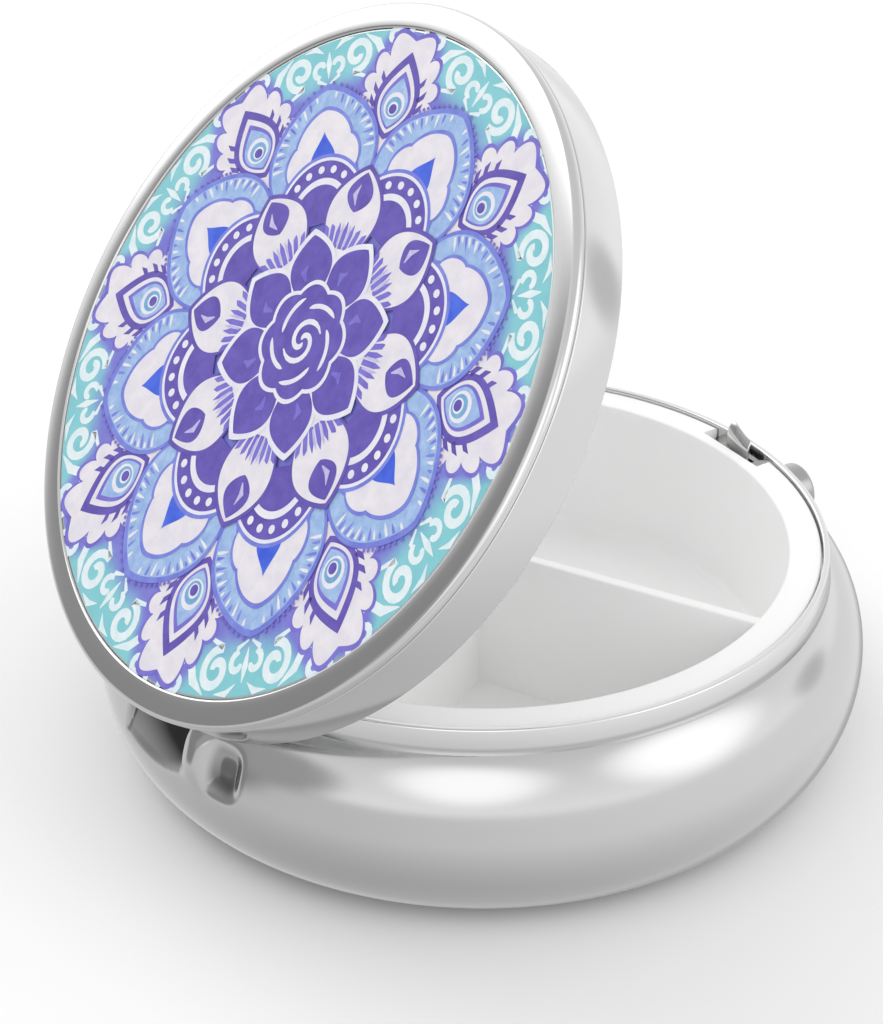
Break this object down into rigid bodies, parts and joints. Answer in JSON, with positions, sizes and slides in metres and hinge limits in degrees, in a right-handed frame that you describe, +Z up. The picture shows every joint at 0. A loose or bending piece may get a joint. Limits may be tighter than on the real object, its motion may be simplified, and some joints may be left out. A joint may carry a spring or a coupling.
{
  "type": "round metal pill box",
  "caption": "Round chrome pill box with a bulged bowl, a hinged lid carrying a printed disc, a divided white tray and a push-button catch.",
  "frame": {"origin": "centre of the flat underside, on the bowl's axis", "axes": "+Z up along the bowl's axis, +Y towards the hinge, -Y towards the push button, +X along the hinge axis"},
  "size_m": [0.05, 0.0542, 0.0483],
  "materials": {
    "chrome_plate": "polished bright chrome plate on pressed steel",
    "plated_steel": "nickel-plated spring steel, satin",
    "white_plastic": "moulded white polypropylene, satin",
    "printed_disc": "printed disc under a satin film",
    "adhesive": "double-sided foam tape"
  },
  "bodies": {
    "base": {"base_bowl": "chrome_plate", "rim_frame": "chrome_plate", "tray": "white_plastic", "latch_bracket": "plated_steel", "hinge_pin": "plated_steel", "hinge_washer_left": "plated_steel", "hinge_washer_right": "plated_steel"},
    "latch": {"latch_hook": "plated_steel", "button_cap": "chrome_plate", "button_rivet": "plated_steel", "latch_spring": "plated_steel"},
    "lid": {"lid_shell": "chrome_plate", "bezel_ring": "chrome_plate", "insert_plate": "printed_disc", "adhesive_disc": "adhesive", "lid_liner": "plated_steel", "strike_plate": "plated_steel", "lid_arm": "plated_steel", "arm_rivet_left": "plated_steel", "arm_rivet_right": "plated_steel"}
  },
  "joints": [
    {"name": "lid_hinge", "type": "hinge", "parent": "base", "child": "lid", "pos_m": [0, 0.0192, 0.0104], "axis": [1, 0, 0], "range_deg": [0, 53.7]},
    {"name": "button_press", "type": "slide", "parent": "base", "child": "latch", "axis": [0, 1, 0], "range_m": [0, 0.0005], "stiffness_N_per_m": 800, "springref_m": -0.002, "deforming": ["latch_spring"]}
  ]
}
